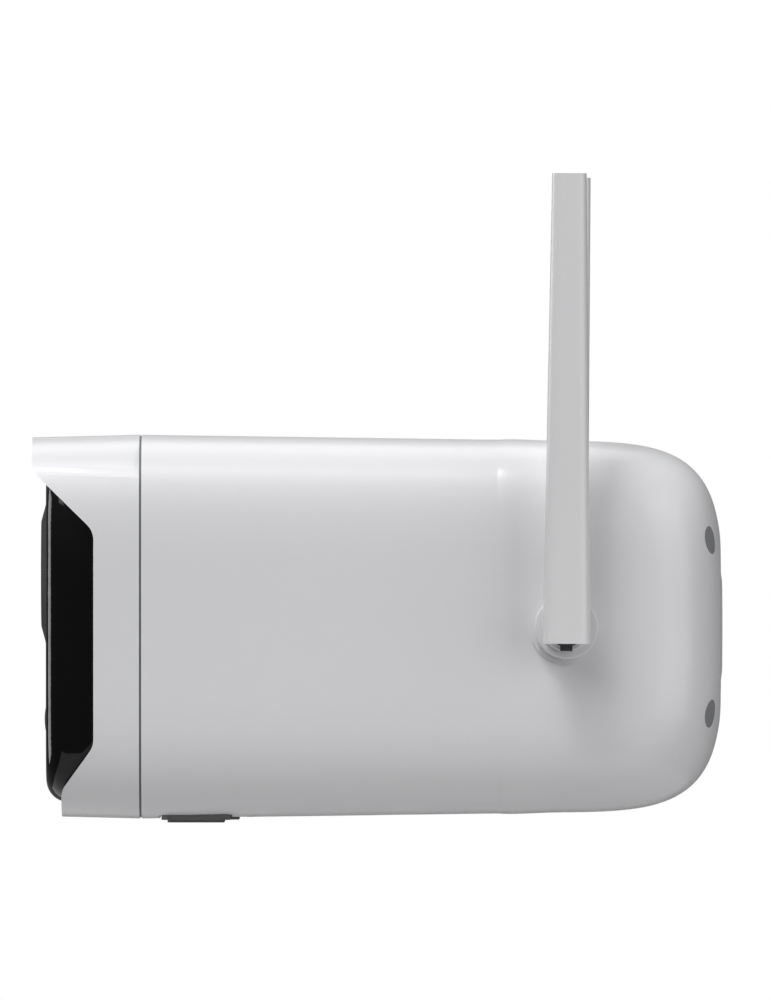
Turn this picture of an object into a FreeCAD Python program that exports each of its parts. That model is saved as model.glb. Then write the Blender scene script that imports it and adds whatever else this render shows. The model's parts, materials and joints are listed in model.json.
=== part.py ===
"""Outdoor battery security camera with two folding paddle antennas, in millimetres.

The camera faces -Y and stands upright along +Z.  The origin is the centre of the mounting
pad on its rear face, so the body runs from y = 0 towards -Y.  "Left" and "right" are the
camera's own sides: its left side is +X.
"""
import FreeCAD, Part
import math
import os
import re

import Sketcher
from FreeCAD import Placement, Rotation, Vector

# Driving dimensions.  Every one becomes a spreadsheet cell with this alias.
DIMENSIONS = {
    # rear housing
    "housing_length": 134.0,
    "housing_width": 84.0,
    "housing_height": 88.6,
    "housing_draft": 0.8,
    "housing_wall": 2.5,
    "section_power": 5.0,
    "rear_round_depth": 42.0,
    "rear_round_power": 4.2,
    "rear_pad_radius": 10.5,
    "settle_run": 10.0,
    "seam_gap": 0.5,
    "seam_inset": 0.3,
    # front bezel
    "hood_reach": 25.2,
    "lip_reach": 18.4,
    "side_reach": 11.0,
    "bezel_draft": 1.4,
    "bezel_wall": 3.4,
    "bulkhead_thickness": 3.0,
    "hood_corner_height": 36.0,
    "cutout_top": 22.1,
    "cutout_bottom": 27.5,
    "lip_corner_drop": 37.7,
    "cutout_round": 4.8,
    "upper_ledge_height": 35.25,
    "upper_ledge_step": 1.2,
    "lower_ledge_height": 34.35,
    "lower_ledge_step": 0.6,
    "ledge_slope": 35.0,
    # front panel
    "panel_reach": 22.0,
    "panel_gap": 0.4,
    "panel_wall": 2.2,
    "panel_round": 5.0,
    "seal_thickness": 0.8,
    # camera module
    "lens_height": 12.2,
    "ring_base_radius": 17.2,
    "ring_front_radius": 12.2,
    "ring_proud": 1.35,
    "ring_sleeve_radius": 12.0,
    "window_radius": 10.8,
    "window_thickness": 1.2,
    "barrel_radius": 7.0,
    "barrel_length": 15.0,
    "element_radius": 5.4,
    "holder_half": 9.0,
    "holder_length": 9.5,
    "holder_setback": 2.5,
    "barrel_seat": 4.0,
    "light_path_radius": 3.0,
    "filter_setback": 3.2,
    "slot_clearance": 0.2,
    "filter_travel": 6.4,
    "filter_size": 5.6,
    "carriage_height": 8.0,
    "carriage_thickness": 0.8,
    "carriage_margin": 4.0,
    "pane_thickness": 0.4,
    "sensor_board_half": 12.0,
    "board_thickness": 1.2,
    "sensor_half_width": 4.0,
    "sensor_half_height": 3.2,
    "sensor_thickness": 0.9,
    # sensing and lighting on the front
    "pir_drop": 21.4,
    "pir_radius": 4.25,
    "pir_proud": 0.6,
    "lamp_offset": 25.0,
    "lamp_spread": 9.0,
    "lamp_radius": 4.0,
    "status_rise": 9.0,
    "status_radius": 1.0,
    "mic_drop": 10.0,
    "mic_radius": 0.5,
    "lens_flange": 0.6,
    "led_chip_half": 1.4,
    "led_chip_thickness": 0.8,
    "led_board_half": 31.0,
    "led_board_setback": 5.4,
    # long housing screws and their plugs
    "screw_offset_across": 27.0,
    "screw_offset_up": 20.0,
    "tunnel_radius": 3.25,
    "tunnel_wall": 1.35,
    "plug_radius": 3.2,
    "plug_length": 5.0,
    "screw_radius": 1.5,
    "screw_head_radius": 2.75,
    "screw_head_height": 2.4,
    "screw_grip": 5.0,
    "screw_bite": 8.0,
    "fastener_gap": 0.08,
    # rear mount
    "insert_minor_radius": 2.6,
    "insert_radius": 4.2,
    "insert_length": 9.0,
    "mount_boss_radius": 8.0,
    # port bay
    "port_setback": 12.5,
    "port_flange_length": 15.9,
    "port_flange_width": 52.0,
    "port_flange_thickness": 1.2,
    "port_pad_margin": 1.4,
    "port_pad_thickness": 0.6,
    "port_recess_depth": 1.0,
    "port_opening_length": 10.6,
    "port_opening_width": 32.0,
    "port_skirt_height": 1.6,
    "port_skirt_gap": 0.4,
    "port_skirt_wall": 1.2,
    "cover_barrel_radius": 0.6,
    "cover_pin_radius": 0.45,
    "cover_pin_reach": 1.4,
    "cover_neck_length": 2.0,
    "cover_neck_half": 17.6,
    "hinge_rise": 0.3,
    "port_board_height": 7.6,
    "port_board_margin": 3.0,
    "port_board_half_depth": 8.5,
    "socket_depth": 4.0,
    "usb_centre": 3.3,
    "usb_half_width": 4.5,
    "usb_half_depth": 1.6,
    "usb_wall": 0.3,
    "usb_tongue_half": 3.1,
    "card_centre": -9.2,
    "card_half_width": 6.2,
    "card_offset": -2.5,
    "card_half_depth": 0.9,
    "card_wall": 0.4,
    "switch_height": 2.2,
    "power_button_across": 12.0,
    "reset_button_back": 2.6,
    "cap_gap": 0.3,
    "power_button_radius": 2.2,
    "reset_button_radius": 1.1,
    "button_travel": 0.4,
    # antennas
    "antenna_setback": 36.2,
    "hub_boss_radius": 8.5,
    "hub_boss_proud": 0.6,
    "hub_wall_draft": 1.4,
    "bush_radius": 7.4,
    "bush_proud": 2.2,
    "bush_sleeve_radius": 5.9,
    "bush_length": 4.0,
    "shaft_radius": 4.5,
    "running_gap": 0.08,
    "collar_radius": 5.7,
    "collar_thickness": 2.0,
    "collar_gap": 0.2,
    "edge_break": 0.4,
    "cable_bore_radius": 1.6,
    "tail_length": 2.4,
    "seal_radius": 0.36,
    "seal_squeeze": 0.03,
    "groove_half": 0.7,
    "clip_radius": 6.4,
    "clip_thickness": 1.3,
    "clip_gap": 0.4,
    "pin_reach": 9.4,
    "pin_radius": 1.0,
    "tongue_width": 2.8,
    "tongue_radius": 2.5,
    "tongue_drop": 5.5,
    "slot_gap": 0.2,
    "gusset_thickness": 0.9,
    "pin_share": 0.88,
    "paddle_top": 104.3,
    "paddle_bottom": 3.8,
    "paddle_foot_width": 11.0,
    "paddle_tip_width": 7.9,
    "paddle_foot_thickness": 7.0,
    "paddle_tip_thickness": 5.5,
    "paddle_power": 3.0,
    "paddle_wall": 1.2,
    "paddle_floor": 9.0,
    "tip_thickness": 1.6,
    "element_half_width": 2.2,
    "element_thickness": 0.8,
    "element_headroom": 12.0,
    "left_antenna_lean": 0.35,
    "right_antenna_lean": 1.2,
    # inside
    "cell_radius": 9.15,
    "cell_length": 65.0,
    "cell_pitch": 18.8,
    "holder_wall": 1.5,
    "cell_gap": 0.4,
    "contact_room": 1.7,
    "contact_half": 4.0,
    "contact_thickness": 0.4,
    "tray_side_height": 6.0,
    "battery_setback": 24.0,
    "main_board_half_width": 21.5,
    "main_board_top": 37.0,
    "main_board_bottom": 30.0,
    "main_board_setback": 12.0,
    "chassis_gap": 3.5,
    "chassis_window_half": 10.0,
    "chassis_thickness": 2.0,
    "post_radius": 2.6,
    "post_inset": 3.0,
    "post_screw_radius": 1.05,
    "shield_half_width": 11.0,
    "shield_bottom": 4.0,
    "shield_top": 26.0,
    "shield_thickness": 3.0,
    "speaker_radius": 14.0,
    "speaker_height": 5.0,
    "speaker_setback": 54.0,
    "grille_hole_radius": 0.8,
    "grille_pitch": 3.2,
}

doc = FreeCAD.newDocument("security_camera")
sheet = doc.addObject("Spreadsheet::Sheet", "dims")
for row, (alias, number) in enumerate(DIMENSIONS.items(), start=1):
    sheet.set(f"A{row}", alias)
    sheet.set(f"B{row}", str(number))
    sheet.setAlias(f"B{row}", alias)
doc.recompute()

subparts = []

# Places that several pieces share, as expressions of the driving dimensions.
SEAM = "-housing_length"
BEZEL_BACK = "(-housing_length - seam_gap)"
BULKHEAD_FRONT = f"({BEZEL_BACK} - bulkhead_thickness)"
PANEL_FRONT = "(-housing_length - panel_reach)"
PANEL_INSIDE = f"({PANEL_FRONT} + panel_wall)"
LED_BOARD_FRONT = f"({PANEL_FRONT} + led_board_setback)"
HOLDER_BACK = f"({SEAM} + holder_setback)"
HOLDER_FRONT = f"({HOLDER_BACK} - holder_length)"
FILTER_PLANE = f"({HOLDER_BACK} - filter_setback)"
MAIN_BOARD_BACK = f"({SEAM} + main_board_setback)"
MAIN_BOARD_FRONT = f"({MAIN_BOARD_BACK} - board_thickness)"
CHASSIS_BACK = f"({MAIN_BOARD_FRONT} - chassis_gap)"
CHASSIS_FRONT = f"({CHASSIS_BACK} - chassis_thickness)"
PORT_CENTRE = f"({SEAM} + port_setback)"
PORT_SEAT = "(-housing_height / 2 + port_recess_depth)"
PORT_BOARD_BOTTOM = "(-housing_height / 2 + port_board_height)"
FLANGE_FRONT = f"({PORT_CENTRE} - port_flange_length / 2)"
FLANGE_BACK = f"({PORT_CENTRE} + port_flange_length / 2)"
HINGE_Y = f"({FLANGE_BACK} + cover_neck_length)"
HINGE_Z = f"({PORT_SEAT} + hinge_rise)"
HUB_Y = "(-antenna_setback)"
HUB_FACE = "(housing_width / 2 - hub_wall_draft + hub_boss_proud)"
BATTERY_FRONT = f"({SEAM} + battery_setback)"
CELL_FRONT = f"({BATTERY_FRONT} + holder_wall + contact_room)"
SPEAKER_Y = f"({SEAM} + speaker_setback)"
SCREW_SEAT = f"({SEAM} + screw_grip)"

# How closely the smooth forms follow their curves.
SECTION_POINTS = 48
ROUND_ANGLES = (12, 20, 30, 40, 50, 60, 68, 75, 81, 85.5, 90)

# Cutting tools run at least this far past what they cut, in millimetres.
PAST = 1

TURNED_TO = {
    "X": Rotation(Vector(0, 1, 0), 90),
    "Y": Rotation(Vector(1, 0, 0), -90),
    "Z": Rotation(),
}


def size(alias):
    """The number in one cell of the sheet."""
    return float(getattr(sheet, alias))


def cells(text):
    """An expression with every alias written as a reference to its cell."""
    return re.sub(r"[a-z]+(?:_[a-z]+)+", lambda word: "dims." + word.group(), str(text))


def bind(piece, prop, text):
    piece.setExpression(prop, cells(text))


def place(piece, x, y, z):
    bind(piece, "Placement.Base.x", x)
    bind(piece, "Placement.Base.y", y)
    bind(piece, "Placement.Base.z", z)


def about(centre, half):
    """The expressions for half a width below and above a centre."""
    return f"{centre} - ({half})", f"{centre} + ({half})"


def box(name, x, y, z):
    """A block between the low and high expression given for each axis."""
    piece = doc.addObject("Part::Box", name)
    for prop, (low, high) in zip(("Length", "Width", "Height"), (x, y, z)):
        bind(piece, prop, f"({high}) - ({low})")
    place(piece, x[0], y[0], z[0])
    return piece


def rod(name, axis, at, radius, span):
    """A cylinder along one axis; at gives its start point's other two coordinates in order."""
    piece = doc.addObject("Part::Cylinder", name)
    piece.Placement = Placement(Vector(), TURNED_TO[axis])
    bind(piece, "Radius", radius)
    bind(piece, "Height", f"({span[1]}) - ({span[0]})")
    start = list(at)
    start.insert("XYZ".index(axis), span[0])
    place(piece, *start)
    return piece


def group(name, pieces):
    piece = doc.addObject("Part::Compound", name)
    piece.Links = list(pieces)
    return piece


def cut(name, base, *tools):
    piece = doc.addObject("Part::Cut", name)
    piece.Base = base
    piece.Tool = tools[0] if len(tools) == 1 else group(name + "_tools", tools)
    return piece


def join(name, *pieces):
    piece = doc.addObject("Part::MultiFuse", name)
    piece.Shapes = list(pieces)
    return piece


def overlap(name, first, second):
    piece = doc.addObject("Part::Common", name)
    piece.Base = first
    piece.Tool = second
    return piece


def rounded(name, base, radius, chosen):
    """Fillet the edges for which chosen(edge) is true."""
    doc.recompute()
    piece = doc.addObject("Part::Fillet", name)
    piece.Base = base
    edges = enumerate(base.Shape.Edges, start=1)
    piece.Edges = [(number, radius, radius) for number, edge in edges if chosen(edge)]
    return piece


def located(name, points):
    """Where pairs of expressions lie, measured with a scratch vertex."""
    probe = doc.addObject("Part::Vertex", name + "_probe")
    found = []
    for across, along in points:
        bind(probe, "X", across)
        bind(probe, "Y", along)
        probe.recompute()
        found.append(Vector(probe.X.Value, probe.Y.Value, 0))
    doc.removeObject(probe.Name)
    return found


def outline(body, name, role, points):
    """A closed sketch of straight lines whose corners are pairs of expressions."""
    sketch = body.newObject("Sketcher::SketchObject", name)
    plane = [item for item in body.Origin.OriginFeatures if item.Role == role][0]
    sketch.AttachmentSupport = (plane, "")
    sketch.MapMode = "FlatFace"
    corners = located(name, points)
    count = len(corners)
    for k, corner in enumerate(corners):
        sketch.addGeometry(Part.LineSegment(corner, corners[(k + 1) % count]))
    for k in range(count):
        sketch.addConstraint(Sketcher.Constraint("Coincident", k, 2, (k + 1) % count, 1))
    for k, corner in enumerate(corners):
        for kind, number, text in (("DistanceX", corner.x, points[k][0]),
                                   ("DistanceY", corner.y, points[k][1])):
            index = sketch.addConstraint(Sketcher.Constraint(kind, -1, 1, k, 1, number))
            sketch.setExpression(f"Constraints[{index}]", cells(text))
    return sketch


def turned(name, points):
    """A body of revolution about local Z; points are (radius, along) pairs of expressions."""
    body = doc.addObject("PartDesign::Body", name)
    sketch = outline(body, name + "_outline", "XZ_Plane", points)
    spin = body.newObject("PartDesign::Revolution", name + "_turn")
    spin.Profile = sketch
    spin.ReferenceAxis = (sketch, ["V_Axis"])
    spin.Angle = 360
    return body


def facing(axis, sign=1):
    """The rotation that points a turned body's local Z along one row axis."""
    towards = {"X": Vector(1, 0, 0), "Y": Vector(0, 1, 0), "Z": Vector(0, 0, 1)}[axis]
    return Rotation(Vector(0, 0, 1), towards * sign)


def stand(piece, rotation, x, y, z):
    """Turn a piece and bind its place."""
    piece.Placement = Placement(Vector(), rotation)
    place(piece, x, y, z)
    return piece


def publish(piece, label):
    """Name a finished sub-part and keep it for export."""
    piece.Label = label
    subparts.append(piece)
    return piece


# --- the outer form: rounded-square sections that close in towards the rear ---------------

def section(name, half_width, half_height, power, y):
    """One closed smooth section of the form |x/a|^n + |z/b|^n = 1, with its seam at the top."""
    points = []
    for k in range(SECTION_POINTS):
        angle = 2 * math.pi * k / SECTION_POINTS + math.pi / 2
        across = abs(math.cos(angle)) / half_width
        up = abs(math.sin(angle)) / half_height
        reach = (across ** power + up ** power) ** (-1 / power)
        points.append(Vector(reach * math.cos(angle), y, reach * math.sin(angle)))
    curve = Part.BSplineCurve()
    curve.interpolate(Points=points, PeriodicFlag=True)
    wire = doc.addObject("Part::Feature", name)
    wire.Shape = Part.Wire(curve.toShape())
    return wire


def loft(name, sections, ruled=False):
    piece = doc.addObject("Part::Loft", name)
    piece.Sections = sections
    piece.Solid = True
    piece.Ruled = ruled
    return piece


def housing_form(name, inset, overrun):
    """The housing's form moved inwards by inset, run past the seam by overrun."""
    length = size("housing_length")
    slope = math.tan(math.radians(size("housing_draft")))
    round_depth = size("rear_round_depth") - inset
    flatness = 2 / size("rear_round_power")
    power = size("section_power")
    half_width = size("housing_width") / 2 - inset
    half_height = size("housing_height") / 2 - inset

    def at_depth(label, depth, share):
        narrowing = slope * (length - inset - depth)
        squareness = 2 + (power - 2) * share ** 2
        return section(f"{name}_{label}", (half_width - narrowing) * share,
                       (half_height - narrowing) * share, squareness, -inset - depth)

    pad = size("rear_pad_radius") - inset / 2
    closing = [section(name + "_pad", pad, pad, 2, -inset)]
    for angle in ROUND_ANGLES:
        turn = math.radians(angle)
        depth = round_depth * (1 - math.cos(turn) ** flatness)
        closing.append(at_depth(f"round_{angle:.0f}", depth, math.sin(turn) ** flatness))
    settled = round_depth + size("settle_run")
    closing.append(at_depth("settled", settled, 1))
    mouth = at_depth("mouth", length + overrun - inset, 1)
    rear = loft(name + "_rear", closing)
    run = loft(name + "_run", [closing[-1], mouth], ruled=True)
    return join(name, rear, run)


def bezel_form(name, narrower=0):
    """The bezel's form from its back to beyond the hood's tip, its sides moved in by narrower."""
    back = -size("housing_length") - size("seam_gap")
    run = size("hood_reach") + 2
    half_width = size("housing_width") / 2 - narrower
    half_height = size("housing_height") / 2
    narrowing = math.tan(math.radians(size("bezel_draft"))) * run
    power = size("section_power")
    rear = section(name + "_rear", half_width, half_height, power, back)
    front = section(name + "_front", half_width - narrowing, half_height - narrowing,
                    power, back - run)
    return loft(name, [rear, front], ruled=True)


def prism(name, inset, back, front):
    """A straight run of the bezel's section between two distances in front of the seam."""
    half_width = size("housing_width") / 2 - inset
    half_height = size("housing_height") / 2 - inset
    power = size("section_power")
    seam = -size("housing_length")
    ends = [section(f"{name}_{k}", half_width, half_height, power, seam - ahead)
            for k, ahead in enumerate((back, front))]
    return loft(name, ends, ruled=True)


def screw_places():
    """The four long screws' places as (x, z) expressions."""
    for across in ("-screw_offset_across", "screw_offset_across"):
        for up in ("-screw_offset_up", "screw_offset_up"):
            yield across, up


# --- rear housing --------------------------------------------------------------------------

def build_housing():
    outer = housing_form("housing_outer", 0, 0)
    inner = housing_form("housing_inner", size("housing_wall"), 6)
    solid = [cut("housing_shell", outer, inner)]
    holes = []
    for k, (x, z) in enumerate(screw_places()):
        tube = rod(f"tunnel_tube_{k}", "Y", (x, z), "tunnel_radius + tunnel_wall", (SEAM, "0"))
        solid.append(overlap(f"tunnel_{k}", tube, outer))
        holes.append(rod(f"tunnel_bore_{k}", "Y", (x, z), "tunnel_radius",
                         (SCREW_SEAT, f"{PAST}")))
        holes.append(rod(f"tunnel_hole_{k}", "Y", (x, z), "screw_radius + fastener_gap",
                         (f"{SEAM} - {PAST}", f"{SCREW_SEAT} + {PAST}")))
    solid.append(rod("mount_boss", "Y", ("0", "0"), "mount_boss_radius",
                     ("-insert_length - housing_wall", "-housing_wall / 2")))
    holes.append(rod("insert_seat", "Y", ("0", "0"), "insert_radius",
                     ("-insert_length", f"{PAST}")))
    hub_back = f"({HUB_FACE} - bush_length)"
    for side, span in (("left", (hub_back, HUB_FACE)), ("right", (f"-{HUB_FACE}", f"-{hub_back}"))):
        solid.append(rod(f"{side}_hub_boss", "X", (HUB_Y, "0"), "hub_boss_radius", span))
        ends = (f"{span[0]} - {PAST}", f"{span[1]} + {PAST}")
        holes.append(rod(f"{side}_hub_hole", "X", (HUB_Y, "0"),
                         "bush_sleeve_radius + fastener_gap", ends))
    below = f"-housing_height / 2 - {PAST}"
    gap = "port_skirt_gap"
    neck = f"cover_neck_half + {gap}"
    recess = box("port_recess", about("0", f"port_flange_width / 2 + {gap}"),
                 (f"{FLANGE_FRONT} - {gap}", f"{FLANGE_BACK} + {gap}"), (below, PORT_SEAT))
    back = f"{HINGE_Y} + port_flange_thickness + hinge_rise + {gap}"
    neck_recess = box("neck_recess", about("0", neck), (FLANGE_BACK, back), (below, PORT_SEAT))
    relief = box("swing_relief", about("0", neck), (HINGE_Y, back), (below, f"{HINGE_Z} + {gap}"))
    groove = rod("hinge_groove", "X", (HINGE_Y, HINGE_Z), "cover_barrel_radius + running_gap",
                 about("0", f"{neck} - 0.05"))
    pin_hole = rod("hinge_holes", "X", (HINGE_Y, HINGE_Z), "cover_pin_radius + running_gap",
                   about("0", f"cover_neck_half + cover_pin_reach + {gap}"))
    opening = box("port_opening", about("0", "port_opening_width / 2"),
                  about(PORT_CENTRE, "port_opening_length / 2"),
                  (below, f"-housing_height / 2 + housing_wall + {PAST}"))
    holes.append(join("port_cutter", recess, neck_recess, relief, groove, pin_hole, opening))
    for across in (-2, -1, 0, 1, 2):
        for along in (-1, 0, 1):
            at = (f"{across} * grille_pitch", f"{SPEAKER_Y} + {along} * grille_pitch")
            holes.append(rod(f"grille_{across + 2}_{along + 1}", "Z", at, "grille_hole_radius",
                             (below, f"-housing_height / 2 + housing_wall + {PAST}")))
    body = join("housing_solid", *solid)
    publish(cut("housing", body, join("housing_cutters", *holes)), "rear_housing")
    return outer


def build_plugs(outer):
    plugs = []
    for k, (x, z) in enumerate(screw_places()):
        body = rod(f"plug_rod_{k}", "Y", (x, z), "plug_radius", ("-2 * plug_length", "0"))
        plugs.append(overlap(f"plug_{k}", body, outer))
    publish(group("plugs", plugs), "screw_plugs")


def build_housing_screws():
    screws = []
    head_top = f"({SCREW_SEAT} + screw_head_height)"
    for k, (x, z) in enumerate(screw_places()):
        head = rod(f"screw_head_{k}", "Y", (x, z), "screw_head_radius", (SCREW_SEAT, head_top))
        shank = rod(f"screw_shank_{k}", "Y", (x, z), "screw_radius",
                    (f"{BEZEL_BACK} - screw_bite", SCREW_SEAT))
        socket = rod(f"screw_socket_{k}", "Y", (x, z), "screw_radius * 0.8",
                     (f"{head_top} - screw_head_height / 2", f"{head_top} + {PAST}"))
        screws.append(cut(f"screw_{k}", join(f"screw_blank_{k}", head, shank), socket))
    publish(group("long_screws", screws), "housing_screws")


def build_seam_gasket():
    ring = prism("gasket_outer", size("seam_inset"), 0, size("seam_gap"))
    hole = prism("gasket_inner", size("housing_wall"), -PAST, size("seam_gap") + PAST)
    publish(cut("gasket", ring, hole), "seam_gasket")


def build_mount_insert():
    waist = "insert_radius - edge_break"
    points = [("insert_minor_radius", "0"), ("insert_radius", "0"),
              ("insert_radius", "insert_length * 0.4"), (waist, "insert_length * 0.45"),
              (waist, "insert_length * 0.55"), ("insert_radius", "insert_length * 0.6"),
              ("insert_radius", "insert_length"), ("insert_minor_radius", "insert_length")]
    insert = turned("insert", points)
    publish(stand(insert, facing("Y", -1), "0", "0", "0"), "mount_insert")


# --- bezel, hood and front panel -----------------------------------------------------------

def bezel_cutter():
    """The space in front of the bezel's side outline, as one bar across the camera."""
    body = doc.addObject("PartDesign::Body", "bezel_cutter")
    tall = "housing_height"
    hood, side, lip = ("housing_length + " + reach
                       for reach in ("hood_reach", "side_reach", "lip_reach"))
    points = [(hood, tall), (hood, "hood_corner_height"), (side, "cutout_top"),
              (side, "-cutout_bottom"), (lip, "-lip_corner_drop"), (lip, f"-{tall}"),
              (f"{hood} + 20", f"-{tall}"), (f"{hood} + 20", tall)]
    sketch = outline(body, "bezel_side_outline", "XY_Plane", points)
    pad = body.newObject("PartDesign::Pad", "bezel_cutter_pad")
    pad.Profile = sketch
    bind(pad, "Length", "housing_width + 20")
    pad.Midplane = True
    doc.recompute()
    height = size("housing_height")
    ahead = size("housing_length") + size("hood_reach") + 15
    names = []
    for number, edge in enumerate(pad.Shape.Edges, start=1):
        middle = edge.CenterOfMass
        crosswise = abs(edge.Vertexes[0].Z - edge.Vertexes[-1].Z) > 1
        if crosswise and abs(middle.y) < height - 1 and middle.x < ahead:
            names.append(f"Edge{number}")
    soft = body.newObject("PartDesign::Fillet", "bezel_cutter_round")
    soft.Base = (pad, names)
    bind(soft, "Radius", "cutout_round")
    # local x runs forwards (-Y), local y up, local z across
    body.Placement = Placement(Vector(), Rotation(Vector(0, -1, 0), Vector(0, 0, 1),
                                                  Vector(-1, 0, 0), "XYZ"))
    return body


def ledge_cutter(name, side, height, step):
    """What is cut away above an upward-facing ledge to leave the sides narrower by step."""
    power = size("section_power")
    half_height = size("housing_height") / 2
    edge = size("housing_width") / 2 * (1 - (height / half_height) ** power) ** (1 / power)
    fall = math.tan(math.radians(size("ledge_slope")))
    root = edge - 2.5
    far = size("housing_width")
    corners = [(far, height - (far - edge) * fall), (root, height + (edge - root) * fall),
               (far / 4, height + (edge - root) * fall), (far / 4, far), (far, far)]
    ends = []
    for k, ahead in enumerate((-PAST, size("hood_reach") + PAST)):
        y = -size("housing_length") - ahead
        points = [Vector(side * across, y, up) for across, up in corners]
        wire = doc.addObject("Part::Feature", f"{name}_end_{k}")
        wire.Shape = Part.makePolygon(points + points[:1])
        ends.append(wire)
    return cut(name, loft(name + "_block", ends, ruled=True), bezel_form(name + "_core", step))


def build_bezel():
    outer = bezel_form("bezel_outer")
    cavity = prism("bezel_cavity", size("bezel_wall"),
                   size("seam_gap") + size("bulkhead_thickness"), size("hood_reach") + 6)
    window = box("bulkhead_window", about("0", "screw_offset_across - 7"),
                 (f"{BULKHEAD_FRONT} - {PAST}", f"{BEZEL_BACK} + {PAST}"),
                 ("-screw_offset_up - 10", "screw_offset_up + 12"))
    lower = size("lower_ledge_step")
    ledges = []
    for side, label in ((1, "left"), (-1, "right")):
        ledges.append(ledge_cutter(f"{label}_lower_ledge", side, size("lower_ledge_height"), lower))
        ledges.append(ledge_cutter(f"{label}_upper_ledge", side, size("upper_ledge_height"),
                                   lower + size("upper_ledge_step")))
    bosses = []
    holes = []
    reach = f"({BEZEL_BACK} - screw_bite - 1)"
    for k, (x, z) in enumerate(screw_places()):
        bosses.append(rod(f"bezel_boss_{k}", "Y", (x, z), "screw_radius + 2.5", (reach, BEZEL_BACK)))
        holes.append(rod(f"bezel_hole_{k}", "Y", (x, z), "screw_radius + fastener_gap / 2",
                         (f"{reach} + 0.8", f"{BEZEL_BACK} + {PAST}")))
    for k, (x, z) in enumerate(post_places()):
        holes.append(rod(f"post_hole_{k}", "Y", (x, z), "post_screw_radius + fastener_gap / 2",
                         (f"{BULKHEAD_FRONT} - {PAST}", f"{BEZEL_BACK} + {PAST}")))
    hollow = cut("bezel_hollow", outer, cavity, bezel_cutter(), *ledges)
    posts = join("bezel_posts", hollow, *bosses)
    publish(cut("bezel", posts, window, *holes), "front_bezel")


def lamp_places():
    """The (x, z) places of the lamps on each side of the lens, by kind."""
    heights = {"spotlight": "lens_height + lamp_spread", "infrared": "lens_height - lamp_spread"}
    return {kind: [(across, up) for across in ("lamp_offset", "-lamp_offset")]
            for kind, up in heights.items()}


def build_panel():
    inset = size("bezel_wall") + size("panel_gap")
    back = size("seam_gap") + size("bulkhead_thickness") + size("seal_thickness")
    front = size("panel_reach")
    block = prism("panel_block", inset, back, front)
    ahead = -size("housing_length") - front
    soft = rounded("panel_soft", block, size("panel_round"),
                   lambda edge: abs(edge.CenterOfMass.y - ahead) < 0.01)
    hollow = prism("panel_hollow", inset + size("panel_wall"), back - 1, front - size("panel_wall"))
    through = (f"{PANEL_FRONT} - {PAST}", f"{PANEL_INSIDE} + {PAST}")
    holes = [hollow]
    holes.append(rod("panel_lens_hole", "Y", ("0", "lens_height"),
                     "ring_sleeve_radius + fastener_gap", through))
    holes.append(rod("panel_pir_hole", "Y", ("0", "-pir_drop"), "pir_radius + fastener_gap", through))
    for kind, places in lamp_places().items():
        holes.extend(rod(f"panel_{kind}_hole_{k}", "Y", spot, "lamp_radius + fastener_gap", through)
                     for k, spot in enumerate(places))
    holes.append(rod("panel_status_hole", "Y", ("0", "-pir_drop + status_rise"),
                     "status_radius + fastener_gap", through))
    holes.append(rod("panel_mic_hole", "Y", ("0", "-pir_drop - mic_drop"), "mic_radius", through))
    publish(cut("panel", soft, *holes), "front_panel")
    rim = prism("seal_outer", inset + 0.1, back - size("seal_thickness"), back)
    gap = prism("seal_inner", inset + size("panel_wall"), back - 3, back + 2)
    publish(cut("seal", rim, gap), "panel_seal")


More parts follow.
